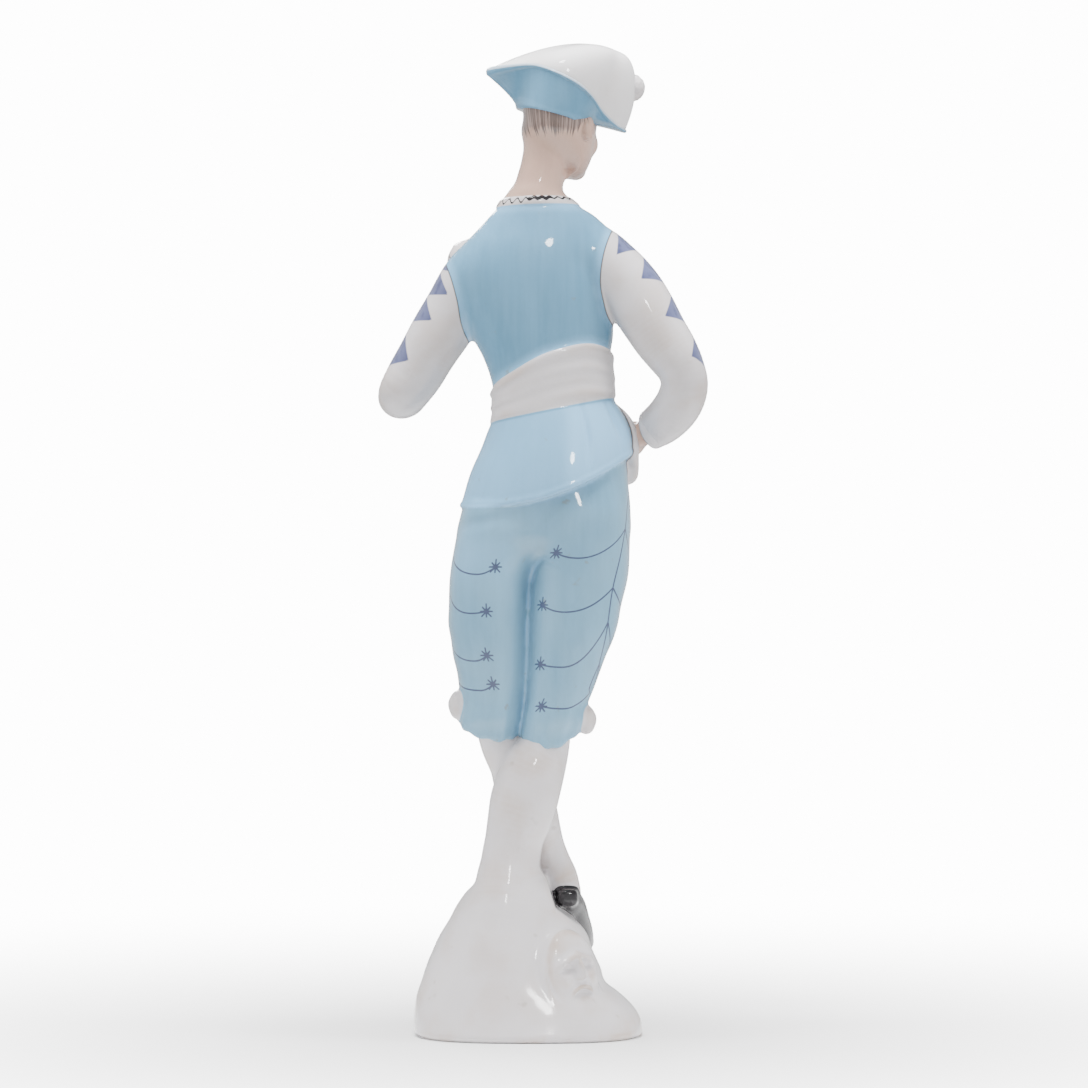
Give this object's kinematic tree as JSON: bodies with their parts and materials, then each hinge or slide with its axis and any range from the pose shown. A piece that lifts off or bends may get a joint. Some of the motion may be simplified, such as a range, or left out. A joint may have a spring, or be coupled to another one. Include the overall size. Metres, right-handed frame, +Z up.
{
  "type": "porcelain theatre figurine",
  "caption": "Glazed porcelain figurine of a comedy player in a three-cornered hat, hand on hip, standing on a rock with a theatre mask.",
  "frame": {"origin": "centre of the rock's flat underside, where it meets the table", "axes": "+Z up, -Y the way the player's chest faces, +X the player's own left"},
  "size_m": [0.0986, 0.0579, 0.297],
  "materials": {
    "glazed_porcelain": "glossy clear glaze over white porcelain, painted in pale blue with fine grey-blue lines"
  },
  "bodies": {
    "root": {"figurine": "glazed_porcelain"}
  },
  "joints": []
}
